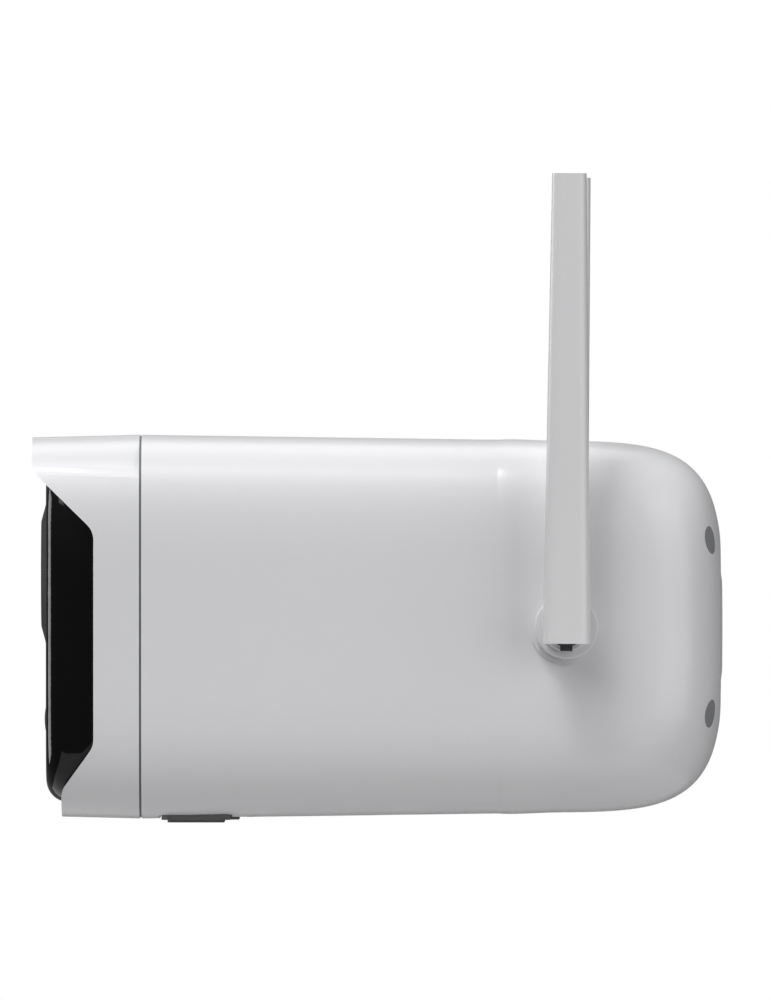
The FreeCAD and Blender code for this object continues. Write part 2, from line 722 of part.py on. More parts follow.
def build_front_optics():
    """Lens surround, window, barrel with its elements, motion lens and lamp lenses."""
    sleeve = "ring_sleeve_radius"
    inside = "window_radius - 1.2"
    seat = "ring_proud - window_thickness - edge_break"
    points = [("window_radius + fastener_gap", "ring_proud"), ("ring_front_radius", "ring_proud"),
              ("ring_base_radius", "0"), (sleeve, "0"), (sleeve, "-panel_wall - 2.4"),
              (inside, "-panel_wall - 2.4"), (inside, seat),
              ("window_radius + fastener_gap", seat)]
    ring = turned("ring", points)
    publish(stand(ring, facing("Y", -1), "0", PANEL_FRONT, "lens_height"), "lens_ring")
    front = f"({PANEL_FRONT} - ring_proud + edge_break)"
    window = rod("window", "Y", ("0", "lens_height"), "window_radius",
                 (front, f"{front} + window_thickness"))
    publish(window, "lens_window")
    nose = f"({HOLDER_BACK} - barrel_seat - barrel_length)"
    points = [("element_radius", "0"), ("barrel_radius - 0.6", "0"), ("barrel_radius", "0.6"),
              ("barrel_radius", "barrel_length"), ("element_radius - 2", "barrel_length"),
              ("element_radius - 2", "3.6"), ("element_radius", "3.6")]
    barrel = turned("barrel", points)
    publish(stand(barrel, facing("Y"), "0", nose, "lens_height"), "lens_barrel")
    disc = rod("front_glass_disc", "Y", ("0", "lens_height"), "element_radius",
               (f"{nose} + 0.3", f"{nose} + 3.6"))
    ball = doc.addObject("Part::Sphere", "front_glass_ball")
    bind(ball, "Radius", "element_radius * 1.8")
    place(ball, "0", f"{nose} + 0.3 + element_radius * 1.8", "lens_height")
    publish(overlap("front_glass", disc, ball), "lens_front_element")
    foot = rod("motion_foot", "Y", ("0", "-pir_drop"), "pir_radius + 1",
               (PANEL_INSIDE, f"{PANEL_INSIDE} + lens_flange"))
    stem = rod("motion_stem", "Y", ("0", "-pir_drop"), "pir_radius",
               (f"{PANEL_FRONT} - pir_proud", f"{PANEL_INSIDE} + lens_flange / 2"))
    ball = doc.addObject("Part::Sphere", "motion_ball")
    swell = "(pir_radius * pir_radius / (2 * pir_proud) + pir_proud / 2)"
    bind(ball, "Radius", swell)
    place(ball, "0", f"{PANEL_FRONT} - pir_proud + {swell}", "-pir_drop")
    blank = join("motion_blank", foot, stem)
    publish(overlap("motion_dome", blank, ball), "motion_sensor_lens")
    for kind, places in lamp_places().items():
        lenses = [rod(f"{kind}_lens_{k}", "Y", spot, "lamp_radius",
                      (PANEL_FRONT, f"{PANEL_INSIDE} + lens_flange"))
                  for k, spot in enumerate(places)]
        publish(group(f"{kind}_lens_pair", lenses), f"{kind}_windows")
    pipe = rod("status_pipe", "Y", ("0", "-pir_drop + status_rise"), "status_radius",
               (PANEL_FRONT, f"{LED_BOARD_FRONT} - led_chip_thickness - 0.1"))
    publish(pipe, "status_light_pipe")


# --- camera module and boards --------------------------------------------------------------

def post_places():
    """The chassis posts' places as (x, z) expressions."""
    for across in ("-main_board_half_width + post_inset", "main_board_half_width - post_inset"):
        for up in ("-main_board_bottom + post_inset", "main_board_top - post_inset"):
            yield across, up


def build_camera_module():
    high = "lens_height"
    past_front, past_back = f"{HOLDER_FRONT} - {PAST}", f"{HOLDER_BACK} + {PAST}"
    block = box("holder_block", about("0", "holder_half"), (HOLDER_FRONT, HOLDER_BACK),
                about(high, "holder_half"))
    bore = rod("holder_bore", "Y", ("0", high), "barrel_radius + fastener_gap / 4",
               (past_front, f"{HOLDER_BACK} - barrel_seat"))
    light = rod("holder_light", "Y", ("0", high), "light_path_radius", (past_front, past_back))
    slot = box("holder_slot", about("0", f"holder_half + {PAST}"),
               (f"{FILTER_PLANE} - slot_clearance",
                f"{FILTER_PLANE} + carriage_thickness + slot_clearance"),
               about(high, "carriage_height / 2 + slot_clearance"))
    room = box("holder_room", about("0", "sensor_half_width + 1"),
               (f"{HOLDER_BACK} - 1.5", past_back), about(high, "sensor_half_width + 1"))
    publish(cut("holder", block, bore, light, slot, room), "lens_holder")
    plate = box("carriage_plate", ("-filter_travel - carriage_margin", "carriage_margin"),
                (FILTER_PLANE, f"{FILTER_PLANE} + carriage_thickness"),
                about(high, "carriage_height / 2"))
    middle = f"({FILTER_PLANE} + carriage_thickness / 2)"
    windows = []
    for name, centre in (("infrared_cut_filter", "0"), ("clear_filter", "-filter_travel")):
        across, up = about(centre, "filter_size / 2"), about(high, "filter_size / 2")
        windows.append(box(f"{name}_window", across, about(middle, "carriage_thickness"), up))
        publish(box(f"{name}_pane", across, about(middle, "pane_thickness / 2"), up), name)
    publish(cut("carriage", plate, *windows), "filter_carriage")
    publish(box("sensor_pcb", about("0", "sensor_board_half"),
                (HOLDER_BACK, f"{HOLDER_BACK} + board_thickness"),
                about(high, "sensor_board_half")), "sensor_board")
    publish(box("sensor_chip", about("0", "sensor_half_width"),
                (f"{HOLDER_BACK} - sensor_thickness", HOLDER_BACK),
                about(high, "sensor_half_height")), "image_sensor")


def build_led_board():
    back = f"({LED_BOARD_FRONT} + board_thickness)"
    square = about("0", "led_board_half")
    plate = box("led_plate", square, (LED_BOARD_FRONT, back), square)
    hole = rod("led_board_lens_hole", "Y", ("0", "lens_height"), "ring_sleeve_radius + 0.5",
               (f"{LED_BOARD_FRONT} - {PAST}", f"{back} + {PAST}"))
    publish(cut("led_pcb", plate, hole), "led_board")
    for kind, places in lamp_places().items():
        chips = [box(f"{kind}_chip_{k}", about(x, "led_chip_half"),
                     (f"{LED_BOARD_FRONT} - led_chip_thickness", LED_BOARD_FRONT),
                     about(z, "led_chip_half"))
                 for k, (x, z) in enumerate(places)]
        publish(group(f"{kind}_chip_pair", chips), f"{kind}_leds")
    can = rod("pir_can", "Y", ("0", "-pir_drop"), "pir_radius - 0.3",
              (f"{LED_BOARD_FRONT} - 1.9", LED_BOARD_FRONT))
    publish(can, "motion_sensor")
    publish(box("mic_can", about("0", "1.8"), (f"{LED_BOARD_FRONT} - 1", LED_BOARD_FRONT),
                about("-pir_drop - mic_drop", "1.6")), "microphone")


def build_chassis():
    half = "main_board_half_width"
    rows = ("-main_board_bottom", "main_board_top")
    plate = box("chassis_plate", about("0", half), (CHASSIS_FRONT, CHASSIS_BACK), rows)
    window = box("chassis_window", about("0", "chassis_window_half"),
                 (f"{CHASSIS_FRONT} - {PAST}", f"{CHASSIS_BACK} + {PAST}"),
                 about("lens_height", "chassis_window_half"))
    board = box("main_pcb", about("0", half), (MAIN_BOARD_FRONT, MAIN_BOARD_BACK), rows)
    solid = [cut("chassis_frame", plate, window)]
    screws = []
    bores = []
    for k, (x, z) in enumerate(post_places()):
        solid.append(rod(f"post_{k}", "Y", (x, z), "post_radius", (BEZEL_BACK, MAIN_BOARD_FRONT)))
        bores.append(rod(f"post_bore_{k}", "Y", (x, z), "post_screw_radius + fastener_gap",
                         (f"{BEZEL_BACK} - {PAST}", f"{MAIN_BOARD_BACK} + {PAST}")))
        shank = rod(f"board_shank_{k}", "Y", (x, z), "post_screw_radius",
                    (f"{BULKHEAD_FRONT} + 0.4", MAIN_BOARD_BACK))
        head = rod(f"board_head_{k}", "Y", (x, z), "post_screw_radius * 2",
                   (MAIN_BOARD_BACK, f"{MAIN_BOARD_BACK} + 1.4"))
        screws.append(join(f"board_screw_{k}", shank, head))
    publish(cut("chassis", join("chassis_solid", *solid), *bores), "chassis")
    publish(cut("main_board_cut", board, *bores), "main_board")
    publish(group("board_screw_set", screws), "board_screws")
    publish(box("shield", about("0", "shield_half_width"),
                (MAIN_BOARD_BACK, f"{MAIN_BOARD_BACK} + shield_thickness"),
                ("shield_bottom", "shield_top")), "radio_shield")


def build_port_bay():
    low = PORT_BOARD_BOTTOM
    face = f"({low} - socket_depth)"
    publish(box("port_pcb", about("0", "port_opening_width / 2 + port_board_margin"),
                about(PORT_CENTRE, "port_board_half_depth"),
                (low, f"{low} + board_thickness")), "port_board")
    shell = box("usb_body", about("usb_centre", "usb_half_width"),
                about(PORT_CENTRE, "usb_half_depth"), (face, low))
    mouth = box("usb_mouth", about("usb_centre", "usb_half_width - usb_wall"),
                about(PORT_CENTRE, "usb_half_depth - usb_wall"),
                (f"{face} - {PAST}", f"{low} - 0.8"))
    tongue = box("usb_tongue", about("usb_centre", "usb_tongue_half"),
                 about(PORT_CENTRE, "0.35"), (f"{face} + 0.4", f"{low} - 0.4"))
    publish(join("usb", cut("usb_shell", shell, mouth), tongue), "usb_socket")
    card_y = f"{PORT_CENTRE} + card_offset"
    case = box("card_case", about("card_centre", "card_half_width"),
               about(card_y, "card_half_depth"), (face, low))
    gap = box("card_mouth", about("card_centre", "card_half_width - card_wall"),
              about(card_y, "card_half_depth - card_wall"), (f"{face} - {PAST}", f"{low} - 0.6"))
    publish(cut("card_slot", case, gap), "memory_card_slot")
    switches = []
    for name, x, y in (("power", "power_button_across", PORT_CENTRE),
                       ("reset", "card_centre", f"({PORT_CENTRE} + reset_button_back)")):
        radius = f"{name}_button_radius"
        side = f"{radius} + cap_gap"
        case = box(f"{name}_case", about(x, side), about(y, side), (f"{low} - switch_height", low))
        bore = rod(f"{name}_bore", "Z", (x, y), f"{radius} - 0.25",
                   (f"{low} - switch_height - {PAST}", f"{low} - 0.6"))
        switches.append(cut(f"{name}_switch", case, bore))
        cap = rod(f"{name}_cap", "Z", (x, y), f"{radius} - cap_gap",
                  (f"{face} + 0.4", f"{low} - 0.7 - button_travel"))
        publish(cap, f"{name}_button")
    publish(group("switch_pair", switches), "button_switches")


def build_port_cover():
    """The rubber cover; the barrel along its rear edge turns on a pin at each end."""
    top = PORT_SEAT
    under = f"({top} - port_flange_thickness)"
    half = "port_flange_width / 2"

    def front_corner(edge):
        upright = abs(edge.Vertexes[0].Z - edge.Vertexes[-1].Z) > size("port_pad_thickness") / 2
        return upright and edge.CenterOfMass.y < -size("housing_length") + size("port_setback")

    flange = box("cover_flange", about("0", half), (FLANGE_FRONT, FLANGE_BACK), (under, top))
    neck = box("cover_neck", about("0", "cover_neck_half"), (f"{FLANGE_BACK} - {PAST}", HINGE_Y),
               (under, top))
    pad = box("cover_pad", about("0", f"{half} - port_pad_margin"),
              (f"{FLANGE_FRONT} + port_pad_margin", f"{FLANGE_BACK} - port_pad_margin"),
              (f"{under} - port_pad_thickness", under))
    skirt = box("cover_skirt", about("0", "port_opening_width / 2 - port_skirt_gap"),
                about(PORT_CENTRE, "port_opening_length / 2 - port_skirt_gap"),
                (top, f"{top} + port_skirt_height"))
    inset = "(port_skirt_gap + port_skirt_wall)"
    hollow = box("cover_hollow", about("0", f"port_opening_width / 2 - {inset}"),
                 about(PORT_CENTRE, f"port_opening_length / 2 - {inset}"),
                 (top, f"{top} + port_skirt_height + {PAST}"))
    barrel = rod("cover_barrel", "X", (HINGE_Y, HINGE_Z), "cover_barrel_radius",
                 about("0", "cover_neck_half"))
    pin = rod("cover_pins", "X", (HINGE_Y, HINGE_Z), "cover_pin_radius",
              about("0", "cover_neck_half + cover_pin_reach"))
    cover = join("cover_solid", rounded("cover_flange_soft", flange, 3, front_corner),
                 rounded("cover_pad_soft", pad, 2.4, front_corner), neck, skirt, barrel, pin)
    publish(cut("cover", cover, hollow), "port_cover")


# --- power and sound -----------------------------------------------------------------------

def build_battery():
    reach = "(cell_pitch / 2 + cell_radius + cell_gap)"
    room_back = f"({CELL_FRONT} + cell_length + contact_room)"
    tray = box("tray_block", about("0", f"{reach} + holder_wall"),
               (BATTERY_FRONT, f"{room_back} + holder_wall"),
               (f"-{reach} - holder_wall", "tray_side_height"))
    room = box("tray_room", about("0", reach), (f"{BATTERY_FRONT} + holder_wall", room_back),
               (f"-{reach}", f"tray_side_height + {PAST}"))
    publish(cut("tray", tray, room), "battery_holder")
    rods = []
    for k, (across, up) in enumerate(((-1, -1), (1, -1), (-1, 1), (1, 1))):
        at = (f"{across} * cell_pitch / 2", f"{up} * cell_pitch / 2")
        rods.append(rod(f"cell_{k}", "Y", at, "cell_radius",
                        (CELL_FRONT, f"{CELL_FRONT} + cell_length")))
    publish(group("cell_pack", rods), "battery_cells")
    plates = []
    for end, start in (("front", f"{CELL_FRONT} - 0.1 - contact_thickness"),
                       ("back", f"{CELL_FRONT} + cell_length + 0.1")):
        for side, across in (("right", "-cell_pitch / 2"), ("left", "cell_pitch / 2")):
            plates.append(box(f"{side}_{end}_contact", about(across, "contact_half"),
                              (start, f"{start} + contact_thickness"),
                              about("0", "cell_pitch / 2 + contact_half")))
    publish(group("contacts", plates), "battery_contacts")


def build_speaker():
    low = "(-housing_height / 2 + housing_wall + 1.2)"
    publish(rod("speaker_body", "Z", ("0", SPEAKER_Y), "speaker_radius",
                (low, f"{low} + speaker_height")), "speaker")


# --- antennas --------------------------------------------------------------------------------

def paddle_form(name, inset, low, high):
    """The tapered paddle's form between two heights, moved inwards by inset."""
    bottom = -size("paddle_bottom")
    top = size("paddle_top")
    sections = []
    for k, height in enumerate((low, high)):
        share = (height - bottom) / (top - bottom)
        width = size("paddle_foot_width") * (1 - share) + size("paddle_tip_width") * share
        thick = size("paddle_foot_thickness") * (1 - share) + size("paddle_tip_thickness") * share
        sections.append(paddle_section(f"{name}_{k}", thick / 2 - inset, width / 2 - inset, height))
    return loft(name, sections, ruled=True)


def paddle_section(name, half_thick, half_width, height):
    power = size("paddle_power")
    centre = size("pin_reach")
    points = []
    for k in range(SECTION_POINTS):
        angle = 2 * math.pi * k / SECTION_POINTS
        reach = ((abs(math.cos(angle)) / half_thick) ** power
                 + (abs(math.sin(angle)) / half_width) ** power) ** (-1 / power)
        points.append(Vector(centre + reach * math.cos(angle), reach * math.sin(angle), height))
    curve = Part.BSplineCurve()
    curve.interpolate(Points=points, PeriodicFlag=True)
    wire = doc.addObject("Part::Feature", name)
    wire.Shape = Part.Wire(curve.toShape())
    return wire


def build_antenna(side, sign, lean):
    """One antenna, made about its hub axis with local x outwards, then put on its side."""
    turn = Rotation(Vector(1, 0, 0), -lean) * Rotation(Vector(0, 0, 1), 0 if sign > 0 else 180)
    hub_x = HUB_FACE if sign > 0 else f"-{HUB_FACE}"
    along_x = Rotation(Vector(0, 1, 0), 90)

    def fit(piece, label, lie=Rotation()):
        stand(piece, turn * lie, hub_x, HUB_Y, "0")
        publish(piece, f"{side}_antenna_{label}")

    bore = "shaft_radius + running_gap"
    fit(turned(f"{side}_bush", [
        (bore, "-bush_length"), ("bush_sleeve_radius", "-bush_length"), ("bush_sleeve_radius", "0"),
        ("bush_radius", "0"), ("bush_radius", "bush_proud - edge_break"),
        ("bush_radius - edge_break", "bush_proud"), (bore, "bush_proud")]), "bush", along_x)
    shoulder = "bush_proud + collar_gap"
    face = f"({shoulder} + collar_thickness)"
    fit(turned(f"{side}_collar", [
        ("shaft_radius", shoulder), ("collar_radius", shoulder),
        ("collar_radius", f"{face} - edge_break"), ("collar_radius - edge_break", face),
        ("shaft_radius", face)]), "collar", along_x)
    tail = "-bush_length - tail_length"
    groove = "shaft_radius - groove_half"
    shaft = stand(turned(f"{side}_shaft", [
        ("cable_bore_radius", tail), ("shaft_radius", tail), ("shaft_radius", "-1 - groove_half"),
        (groove, "-1 - groove_half"), (groove, "-1 + groove_half"),
        ("shaft_radius", "-1 + groove_half"), ("shaft_radius", face),
        ("cable_bore_radius", face)]), along_x, "0", "0", "0")
    tongue = about("0", "tongue_width / 2")
    arm = box(f"{side}_arm", (f"{face} - 1", "pin_reach"), tongue, about("0", "tongue_radius"))
    eye = rod(f"{side}_eye", "Y", ("pin_reach", "0"), "tongue_radius", tongue)
    gusset = box(f"{side}_gusset", (face, f"{face} + gusset_thickness"), tongue,
                 ("-tongue_drop", "tongue_radius"))
    pin_hole = rod(f"{side}_eye_hole", "Y", ("pin_reach", "0"), "pin_radius + running_gap / 2",
                   about("0", f"tongue_width / 2 + {PAST}"))
    knuckle = join(f"{side}_knuckle_solid", shaft, arm, eye, gusset)
    fit(cut(f"{side}_knuckle", knuckle, pin_hole), "knuckle")
    ring = doc.addObject("Part::Torus", f"{side}_ring")
    bind(ring, "Radius1", "shaft_radius - seal_radius + seal_squeeze")
    bind(ring, "Radius2", "seal_radius")
    ring.Placement = Placement(Vector(), along_x)
    place(ring, "-1", "0", "0")
    fit(group(f"{side}_seal", [ring]), "o_ring")
    clip_outer = "-bush_length - clip_gap"
    clip_inner = f"{clip_outer} - clip_thickness"
    fit(turned(f"{side}_clip", [
        ("shaft_radius", clip_inner), ("clip_radius", clip_inner),
        ("clip_radius", clip_outer), ("shaft_radius", clip_outer)]), "clip", along_x)
    pin_ends = about("0", "paddle_foot_width / 2 * pin_share")
    pin = rod(f"{side}_pin", "Y", ("pin_reach", "0"), "pin_radius", pin_ends)
    fit(group(f"{side}_pin_group", [pin]), "pin")

    bottom = -size("paddle_bottom")
    top = size("paddle_top")
    wall = size("paddle_wall")
    form = paddle_form(f"{side}_paddle_form", 0, bottom, top)
    hollow = paddle_form(f"{side}_paddle_hollow", wall, size("paddle_floor"), top + PAST)
    slot = box(f"{side}_slot", ("0", "pin_reach + tongue_radius + slot_gap"),
               about("0", "tongue_width / 2 + slot_gap"),
               (f"-paddle_bottom - {PAST}", "tongue_radius + 2"))
    bore = rod(f"{side}_pin_bore", "Y", ("pin_reach", "0"), "pin_radius", pin_ends)
    heel = "(paddle_foot_thickness / 2)"
    across = about("0", "paddle_foot_width")
    corner = box(f"{side}_corner", ("0", "pin_reach"), across,
                 (f"-paddle_bottom - {PAST}", f"-paddle_bottom + {heel}"))
    round_heel = rod(f"{side}_heel", "Y", ("pin_reach", f"-paddle_bottom + {heel}"), heel,
                     about("0", f"paddle_foot_width + {PAST}"))
    sweep = cut(f"{side}_sweep", corner, round_heel)
    fit(cut(f"{side}_paddle", form, hollow, slot, bore, sweep), "paddle")
    cap = paddle_form(f"{side}_cap_form", wall, top - size("tip_thickness"), top)
    fit(group(f"{side}_cap", [cap]), "tip")
    strip = box(f"{side}_strip", about("pin_reach", "element_thickness / 2"),
                about("0", "element_half_width"),
                (f"paddle_floor + {PAST}", "paddle_top - element_headroom"))
    fit(group(f"{side}_element_group", [strip]), "element")


def build_antennas():
    build_antenna("left", 1, size("left_antenna_lean"))
    build_antenna("right", -1, size("right_antenna_lean"))


# --- the whole camera ------------------------------------------------------------------------

outer_form = build_housing()
build_plugs(outer_form)
build_housing_screws()
build_seam_gasket()
build_mount_insert()
build_bezel()
build_panel()
build_front_optics()
build_camera_module()
build_led_board()
build_chassis()
build_port_bay()
build_port_cover()
build_battery()
build_speaker()
build_antennas()
doc.recompute()

failed = [item.Name for item in doc.Objects if {"Invalid", "Error"} & set(item.State)]
if failed:
    raise RuntimeError(f"objects that failed to build: {failed}")
for piece in subparts:
    if piece.Shape.isNull() or not piece.Shape.isValid():
        raise RuntimeError(f"{piece.Label} has no valid shape")

os.makedirs("parts", exist_ok=True)
for piece in subparts:
    piece.Shape.exportStep(f"parts/{piece.Label}.step")
    print(f"{piece.Label:28s} {len(piece.Shape.Solids)} solids {piece.Shape.Volume / 1000:9.3f} cm3")
print(len(subparts), "sub-parts")
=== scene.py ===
# %% [markdown]
# # An outdoor battery security camera
# The body is a white moulded case with a hooded black front, and two folding paddle antennas
# stand beside its rear.  The shapes come from the CAD frame.  This lesson gives each piece its
# real finish, then sets up a plain studio.

# %% Load the frame
import json
import math

import bmesh
import bpy
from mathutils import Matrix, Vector


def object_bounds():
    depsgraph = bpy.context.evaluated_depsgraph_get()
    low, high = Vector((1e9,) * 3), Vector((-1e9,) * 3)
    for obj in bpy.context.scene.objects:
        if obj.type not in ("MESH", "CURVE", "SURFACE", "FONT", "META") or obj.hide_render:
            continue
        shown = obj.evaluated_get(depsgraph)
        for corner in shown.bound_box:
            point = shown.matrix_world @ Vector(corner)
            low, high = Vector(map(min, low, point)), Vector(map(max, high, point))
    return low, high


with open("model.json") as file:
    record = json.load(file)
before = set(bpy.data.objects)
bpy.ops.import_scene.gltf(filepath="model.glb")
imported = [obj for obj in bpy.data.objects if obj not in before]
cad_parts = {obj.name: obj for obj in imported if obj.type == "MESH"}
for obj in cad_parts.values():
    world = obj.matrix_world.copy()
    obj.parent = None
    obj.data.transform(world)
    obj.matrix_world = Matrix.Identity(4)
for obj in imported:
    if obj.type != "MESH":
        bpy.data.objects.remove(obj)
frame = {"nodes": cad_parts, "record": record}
cad_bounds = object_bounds()
nodes = frame["nodes"]
slot_of = {row["node"]: row["material_slot"] for row in frame["record"]["subparts"]}
print(f"{len(nodes)} CAD nodes, {len(set(slot_of.values()))} finishes")

# %% [markdown]
# ## Shared effects
# Moulded plastic is never one flat value.  The steel tool leaves a faint grain on it, hands leave
# slightly smoother and rougher patches, and dust settles on what faces up.  Several finishes
# need these, so each is a node group that is built once.

# %% A small kit for node trees
GRAIN_SIZE = 2600.0
DUST_COLOR = (0.45, 0.42, 0.38, 1.0)
MIX_FIRST, MIX_SECOND = 6, 7
MOULD_RELIEF_M = 0.0002
BRUSH_RELIEF_M = 0.0001


def add_node(tree, kind, **settings):
    """Add a node; keys are its own settings, or the names of its inputs."""
    node = tree.nodes.new(kind)
    for key, value in settings.items():
        if hasattr(node, key):
            setattr(node, key, value)
        else:
            node.inputs[key.replace("_", " ")].default_value = value
    return node


def new_group(name, inputs, outputs):
    """A shader node group with float inputs {name: default} and outputs {name: type}."""
    tree = bpy.data.node_groups.new(name, "ShaderNodeTree")
    for label, default in inputs.items():
        socket = tree.interface.new_socket(label, in_out="INPUT", socket_type="NodeSocketFloat")
        socket.default_value = default
    for label, kind in outputs.items():
        tree.interface.new_socket(label, in_out="OUTPUT", socket_type=kind)
    return tree, tree.nodes.new("NodeGroupInput"), tree.nodes.new("NodeGroupOutput")


# %% Mould grain: a fine height for bump and the uneven shine of handled plastic
def build_mould_grain():
    tree, given, result = new_group(
        "mould_grain",
        {"Grain Size": GRAIN_SIZE, "Patch Size": 38.0, "Roughness": 0.3, "Variation": 0.05},
        {"Height": "NodeSocketFloat", "Roughness": "NodeSocketFloat"})
    place = add_node(tree, "ShaderNodeTexCoord")
    grain = add_node(tree, "ShaderNodeTexNoise", Detail=2.0, Roughness=0.6)
    patch = add_node(tree, "ShaderNodeTexNoise", Detail=3.0, Roughness=0.55)
    spread = add_node(tree, "ShaderNodeMath", operation="SUBTRACT")
    spread.inputs[1].default_value = 0.5
    scaled = add_node(tree, "ShaderNodeMath", operation="MULTIPLY_ADD")
    link = tree.links.new
    link(place.outputs["Object"], grain.inputs["Vector"])
    link(place.outputs["Object"], patch.inputs["Vector"])
    link(given.outputs["Grain Size"], grain.inputs["Scale"])
    link(given.outputs["Patch Size"], patch.inputs["Scale"])
    link(patch.outputs["Fac"], spread.inputs[0])
    link(spread.outputs[0], scaled.inputs[0])
    link(given.outputs["Variation"], scaled.inputs[1])
    link(given.outputs["Roughness"], scaled.inputs[2])
    link(grain.outputs["Fac"], result.inputs["Height"])
    link(scaled.outputs[0], result.inputs["Roughness"])
    return tree


# %% Tint drift: a colour that wanders a little, with dust on what faces up
def build_tint_drift():
    tree, given, result = new_group(
        "tint_drift", {"Drift": 0.03, "Dust": 0.02, "Cloud Size": 22.0},
        {"Color": "NodeSocketColor"})
    base = tree.interface.new_socket("Base", in_out="INPUT", socket_type="NodeSocketColor")
    base.default_value = (0.8, 0.8, 0.8, 1.0)
    place = add_node(tree, "ShaderNodeTexCoord")
    cloud = add_node(tree, "ShaderNodeTexNoise", Detail=4.0, Roughness=0.6)
    shift = add_node(tree, "ShaderNodeMath", operation="MULTIPLY_ADD")
    shift.inputs[2].default_value = 1.0
    centred = add_node(tree, "ShaderNodeMath", operation="SUBTRACT")
    centred.inputs[1].default_value = 0.5
    tinted = add_node(tree, "ShaderNodeVectorMath", operation="SCALE")
    geometry = add_node(tree, "ShaderNodeNewGeometry")
    facing = add_node(tree, "ShaderNodeSeparateXYZ")
    upward = add_node(tree, "ShaderNodeMath", operation="MULTIPLY", use_clamp=True)
    settled = add_node(tree, "ShaderNodeMath", operation="MULTIPLY")
    dusty = add_node(tree, "ShaderNodeMix", data_type="RGBA")
    dusty.inputs[MIX_SECOND].default_value = DUST_COLOR
    link = tree.links.new
    link(place.outputs["Object"], cloud.inputs["Vector"])
    link(given.outputs["Cloud Size"], cloud.inputs["Scale"])
    link(cloud.outputs["Fac"], centred.inputs[0])
    link(centred.outputs[0], shift.inputs[0])
    link(given.outputs["Drift"], shift.inputs[1])
    link(given.outputs["Base"], tinted.inputs[0])
    link(shift.outputs[0], tinted.inputs["Scale"])
    link(geometry.outputs["Normal"], facing.inputs[0])
    link(facing.outputs["Z"], upward.inputs[0])
    link(given.outputs["Dust"], upward.inputs[1])
    link(upward.outputs[0], settled.inputs[0])
    link(cloud.outputs["Fac"], settled.inputs[1])
    link(settled.outputs[0], dusty.inputs[0])
    link(tinted.outputs[0], dusty.inputs[MIX_FIRST])
    link(dusty.outputs[2], result.inputs["Color"])
    return tree


# %% Brushing: fine parallel scratches for drawn and turned metal
def build_brushing():
    tree, given, result = new_group(
        "brushing", {"Along": 60.0, "Across": 2400.0, "Roughness": 0.3, "Variation": 0.2},
        {"Height": "NodeSocketFloat", "Roughness": "NodeSocketFloat"})
    place = add_node(tree, "ShaderNodeTexCoord")
    stretch = add_node(tree, "ShaderNodeCombineXYZ")
    scaled = add_node(tree, "ShaderNodeVectorMath", operation="MULTIPLY")
    lines = add_node(tree, "ShaderNodeTexNoise", Scale=1.0, Detail=2.0)
    shine = add_node(tree, "ShaderNodeMath", operation="MULTIPLY_ADD")
    link = tree.links.new
    link(given.outputs["Across"], stretch.inputs["X"])
    link(given.outputs["Along"], stretch.inputs["Y"])
    link(given.outputs["Across"], stretch.inputs["Z"])
    link(place.outputs["Object"], scaled.inputs[0])
    link(stretch.outputs[0], scaled.inputs[1])
    link(scaled.outputs[0], lines.inputs["Vector"])
    link(lines.outputs["Fac"], shine.inputs[0])
    link(given.outputs["Variation"], shine.inputs[1])
    link(given.outputs["Roughness"], shine.inputs[2])
    link(lines.outputs["Fac"], result.inputs["Height"])
    link(shine.outputs[0], result.inputs["Roughness"])
    return tree


MOULD_GRAIN = build_mould_grain()
TINT_DRIFT = build_tint_drift()
BRUSHING = build_brushing()
print("shared effects:", [tree.name for tree in (MOULD_GRAIN, TINT_DRIFT, BRUSHING)])

# %% [markdown]
# ## Finishes
# Each finish is one Principled shader.  Numbers that are the same all over sit on its own
# sockets, and the groups feed only what changes across the surface.

# %% One function for every moulded finish
def placed_group(tree, group, **values):
    """Place a shared group in a material, with its own input values."""
    node = add_node(tree, "ShaderNodeGroup")
    node.node_tree = group
    for key, value in values.items():
        node.inputs[key.replace("_", " ")].default_value = value
    return node


def new_finish(name):
    """A new material, its node tree and its Principled shader."""
    material = bpy.data.materials.new(name)
    material.use_nodes = True
    return material, material.node_tree, material.node_tree.nodes["Principled BSDF"]


def moulded(name, color, roughness, grain_size=GRAIN_SIZE, bump=0.02, variation=0.05,
            drift=0.02, dust=0.0, **sockets):
    """Plastic or rubber: drifting colour, uneven shine and a fine grain."""
    material, tree, shader = new_finish(name)
    grain = placed_group(tree, MOULD_GRAIN, Grain_Size=grain_size, Roughness=roughness,
                         Variation=variation)
    tint = placed_group(tree, TINT_DRIFT, Drift=drift, Dust=dust)
    tint.inputs["Base"].default_value = (*color, 1.0)
    relief = add_node(tree, "ShaderNodeBump", Strength=bump, Distance=MOULD_RELIEF_M)
    link = tree.links.new
    link(tint.outputs["Color"], shader.inputs["Base Color"])
    link(grain.outputs["Roughness"], shader.inputs["Roughness"])
    link(grain.outputs["Height"], relief.inputs["Height"])
    link(relief.outputs["Normal"], shader.inputs["Normal"])
    for socket, value in sockets.items():
        shader.inputs[socket.replace("_", " ")].default_value = value
    return material


# %% [markdown]
# The case, the bezel and the antennas are semi-gloss white ABS.  Outdoor covers are moulded in a
# polished tool, so the grain is very fine, the shine is broad but clear and the colour is even.

# %% White case, antennas and hub collars
CASE_WHITE = (0.80, 0.80, 0.815)
ANTENNA_WHITE = (0.80, 0.80, 0.81)
COLLAR_WHITE = (0.76, 0.76, 0.77)
finishes = {
    "housing_white": moulded("case_white", CASE_WHITE, 0.28, bump=0.02, variation=0.0, drift=0.0),
    "antenna_white": moulded("antenna_white", ANTENNA_WHITE, 0.27, bump=0.02, variation=0.0,
                             drift=0.0),
    "collar_white": moulded("collar_white", COLLAR_WHITE, 0.34, bump=0.02, drift=0.0),
}

